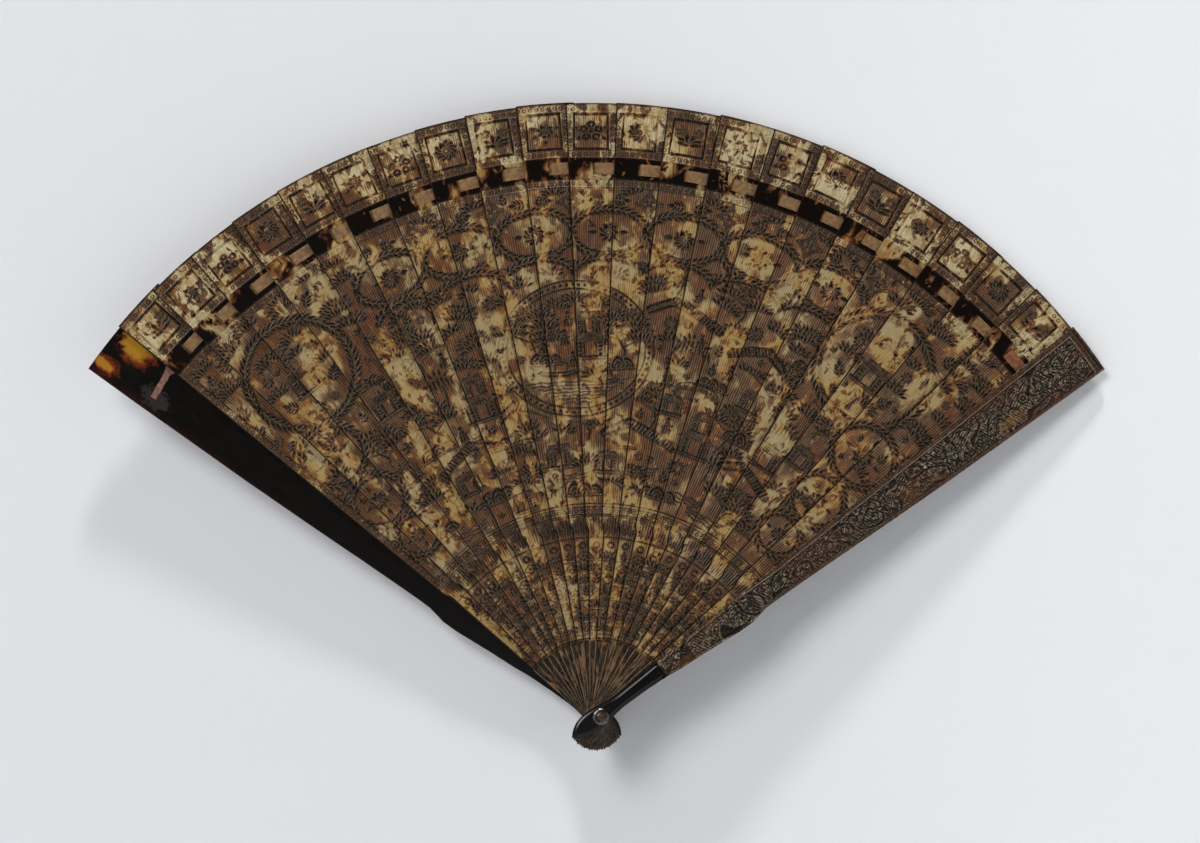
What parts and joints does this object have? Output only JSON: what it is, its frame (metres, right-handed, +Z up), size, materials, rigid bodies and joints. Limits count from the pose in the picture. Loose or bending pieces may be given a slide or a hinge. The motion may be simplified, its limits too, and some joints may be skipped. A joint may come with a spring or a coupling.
{
  "type": "brise fan",
  "caption": "Open hand fan of overlapping carved shell sticks between two guards, all turning on one rivet and linked by a threaded ribbon.",
  "frame": {"origin": "on the rivet's axis, halfway through the stack of leaves, where the hand holds the fan", "axes": "+Z up along the middle stick of the open fan, +X to the right, and the carved front faces -Y"},
  "size_m": [0.294, 0.0258, 0.1882],
  "materials": {
    "shell_mottled": "mottled tortoiseshell, carved ground with polished borders",
    "shell_dark": "dark tortoiseshell, carved and polished",
    "ribbon": "faded silk ribbon",
    "ribbon_fresh": "silk ribbon, unfaded",
    "rivet_pin": "aged",
    "rivet_washer": "domed, dull"
  },
  "bodies": {
    "back_guard": {"guard_back": "shell_dark", "ribbon_end_back": "ribbon", "rivet_pin": "rivet_pin", "rivet_washer_front": "rivet_washer", "rivet_washer_back": "rivet_washer"},
    "front_guard": {"guard_front": "shell_dark", "ribbon_end_front": "ribbon_fresh"},
    "stick_01": {"stick_01": "shell_mottled", "ribbon_01": "ribbon"},
    "stick_02": {"stick_02": "shell_mottled", "ribbon_02": "ribbon"},
    "stick_03": {"stick_03": "shell_mottled", "ribbon_03": "ribbon"},
    "stick_04": {"stick_04": "shell_mottled", "ribbon_04": "ribbon"},
    "stick_05": {"stick_05": "shell_mottled", "ribbon_05": "ribbon"},
    "stick_06": {"stick_06": "shell_mottled", "ribbon_06": "ribbon"},
    "stick_07": {"stick_07": "shell_mottled", "ribbon_07": "ribbon"},
    "stick_08": {"stick_08": "shell_mottled", "ribbon_08": "ribbon"},
    "stick_09": {"stick_09": "shell_mottled", "ribbon_09": "ribbon"},
    "stick_10": {"stick_10": "shell_mottled", "ribbon_10": "ribbon"},
    "stick_11": {"stick_11": "shell_mottled", "ribbon_11": "ribbon"},
    "stick_12": {"stick_12": "shell_mottled", "ribbon_12": "ribbon"},
    "stick_13": {"stick_13": "shell_mottled", "ribbon_13": "ribbon"},
    "stick_14": {"stick_14": "shell_mottled", "ribbon_14": "ribbon"},
    "stick_15": {"stick_15": "shell_mottled", "ribbon_15": "ribbon"},
    "stick_16": {"stick_16": "shell_mottled", "ribbon_16": "ribbon"},
    "stick_17": {"stick_17": "shell_mottled", "ribbon_17": "ribbon"},
    "stick_18": {"stick_18": "shell_mottled", "ribbon_18": "ribbon"},
    "stick_19": {"stick_19": "shell_mottled", "ribbon_19": "ribbon"},
    "stick_20": {"stick_20": "shell_mottled", "ribbon_20": "ribbon"},
    "stick_21": {"stick_21": "shell_mottled", "ribbon_21": "ribbon_fresh"}
  },
  "joints": [
    {"name": "front_guard_swing", "type": "hinge", "parent": "back_guard", "child": "front_guard", "pos_m": [0, 0, 0], "axis": [0, -1, 0], "range_deg": [0, 106.4]},
    {"name": "stick_01_swing", "type": "hinge", "parent": "back_guard", "child": "stick_01", "pos_m": [0, 0, 0], "axis": [0, -1, 0], "range_deg": [0, 4.84]},
    {"name": "stick_02_swing", "type": "hinge", "parent": "back_guard", "child": "stick_02", "pos_m": [0, 0, 0], "axis": [0, -1, 0], "range_deg": [0, 9.67]},
    {"name": "stick_03_swing", "type": "hinge", "parent": "back_guard", "child": "stick_03", "pos_m": [0, 0, 0], "axis": [0, -1, 0], "range_deg": [0, 14.51]},
    {"name": "stick_04_swing", "type": "hinge", "parent": "back_guard", "child": "stick_04", "pos_m": [0, 0, 0], "axis": [0, -1, 0], "range_deg": [0, 19.35]},
    {"name": "stick_05_swing", "type": "hinge", "parent": "back_guard", "child": "stick_05", "pos_m": [0, 0, 0], "axis": [0, -1, 0], "range_deg": [0, 24.18]},
    {"name": "stick_06_swing", "type": "hinge", "parent": "back_guard", "child": "stick_06", "pos_m": [0, 0, 0], "axis": [0, -1, 0], "range_deg": [0, 29.02]},
    {"name": "stick_07_swing", "type": "hinge", "parent": "back_guard", "child": "stick_07", "pos_m": [0, 0, 0], "axis": [0, -1, 0], "range_deg": [0, 33.86]},
    {"name": "stick_08_swing", "type": "hinge", "parent": "back_guard", "child": "stick_08", "pos_m": [0, 0, 0], "axis": [0, -1, 0], "range_deg": [0, 38.7]},
    {"name": "stick_09_swing", "type": "hinge", "parent": "back_guard", "child": "stick_09", "pos_m": [0, 0, 0], "axis": [0, -1, 0], "range_deg": [0, 43.53]},
    {"name": "stick_10_swing", "type": "hinge", "parent": "back_guard", "child": "stick_10", "pos_m": [0, 0, 0], "axis": [0, -1, 0], "range_deg": [0, 48.37]},
    {"name": "stick_11_swing", "type": "hinge", "parent": "back_guard", "child": "stick_11", "pos_m": [0, 0, 0], "axis": [0, -1, 0], "range_deg": [0, 53.21]},
    {"name": "stick_12_swing", "type": "hinge", "parent": "back_guard", "child": "stick_12", "pos_m": [0, 0, 0], "axis": [0, -1, 0], "range_deg": [0, 58.04]},
    {"name": "stick_13_swing", "type": "hinge", "parent": "back_guard", "child": "stick_13", "pos_m": [0, 0, 0], "axis": [0, -1, 0], "range_deg": [0, 62.88]},
    {"name": "stick_14_swing", "type": "hinge", "parent": "back_guard", "child": "stick_14", "pos_m": [0, 0, 0], "axis": [0, -1, 0], "range_deg": [0, 67.72]},
    {"name": "stick_15_swing", "type": "hinge", "parent": "back_guard", "child": "stick_15", "pos_m": [0, 0, 0], "axis": [0, -1, 0], "range_deg": [0, 72.56]},
    {"name": "stick_16_swing", "type": "hinge", "parent": "back_guard", "child": "stick_16", "pos_m": [0, 0, 0], "axis": [0, -1, 0], "range_deg": [0, 77.39]},
    {"name": "stick_17_swing", "type": "hinge", "parent": "back_guard", "child": "stick_17", "pos_m": [0, 0, 0], "axis": [0, -1, 0], "range_deg": [0, 82.23]},
    {"name": "stick_18_swing", "type": "hinge", "parent": "back_guard", "child": "stick_18", "pos_m": [0, 0, 0], "axis": [0, -1, 0], "range_deg": [0, 87.07]},
    {"name": "stick_19_swing", "type": "hinge", "parent": "back_guard", "child": "stick_19", "pos_m": [0, 0, 0], "axis": [0, -1, 0], "range_deg": [0, 91.9]},
    {"name": "stick_20_swing", "type": "hinge", "parent": "back_guard", "child": "stick_20", "pos_m": [0, 0, 0], "axis": [0, -1, 0], "range_deg": [0, 96.74]},
    {"name": "stick_21_swing", "type": "hinge", "parent": "back_guard", "child": "stick_21", "pos_m": [0, 0, 0], "axis": [0, -1, 0], "range_deg": [0, 101.58]}
  ],
  "couplings": [
    {"joint": "stick_01_swing", "follows": "front_guard_swing", "ratio": 0.045455},
    {"joint": "stick_02_swing", "follows": "front_guard_swing", "ratio": 0.090909},
    {"joint": "stick_03_swing", "follows": "front_guard_swing", "ratio": 0.13636},
    {"joint": "stick_04_swing", "follows": "front_guard_swing", "ratio": 0.18182},
    {"joint": "stick_05_swing", "follows": "front_guard_swing", "ratio": 0.22727},
    {"joint": "stick_06_swing", "follows": "front_guard_swing", "ratio": 0.27273},
    {"joint": "stick_07_swing", "follows": "front_guard_swing", "ratio": 0.31818},
    {"joint": "stick_08_swing", "follows": "front_guard_swing", "ratio": 0.36364},
    {"joint": "stick_09_swing", "follows": "front_guard_swing", "ratio": 0.40909},
    {"joint": "stick_10_swing", "follows": "front_guard_swing", "ratio": 0.45454},
    {"joint": "stick_11_swing", "follows": "front_guard_swing", "ratio": 0.5},
    {"joint": "stick_12_swing", "follows": "front_guard_swing", "ratio": 0.54546},
    {"joint": "stick_13_swing", "follows": "front_guard_swing", "ratio": 0.59091},
    {"joint": "stick_14_swing", "follows": "front_guard_swing", "ratio": 0.63636},
    {"joint": "stick_15_swing", "follows": "front_guard_swing", "ratio": 0.68182},
    {"joint": "stick_16_swing", "follows": "front_guard_swing", "ratio": 0.72727},
    {"joint": "stick_17_swing", "follows": "front_guard_swing", "ratio": 0.77273},
    {"joint": "stick_18_swing", "follows": "front_guard_swing", "ratio": 0.81818},
    {"joint": "stick_19_swing", "follows": "front_guard_swing", "ratio": 0.86364},
    {"joint": "stick_20_swing", "follows": "front_guard_swing", "ratio": 0.90909},
    {"joint": "stick_21_swing", "follows": "front_guard_swing", "ratio": 0.95454}
  ]
}
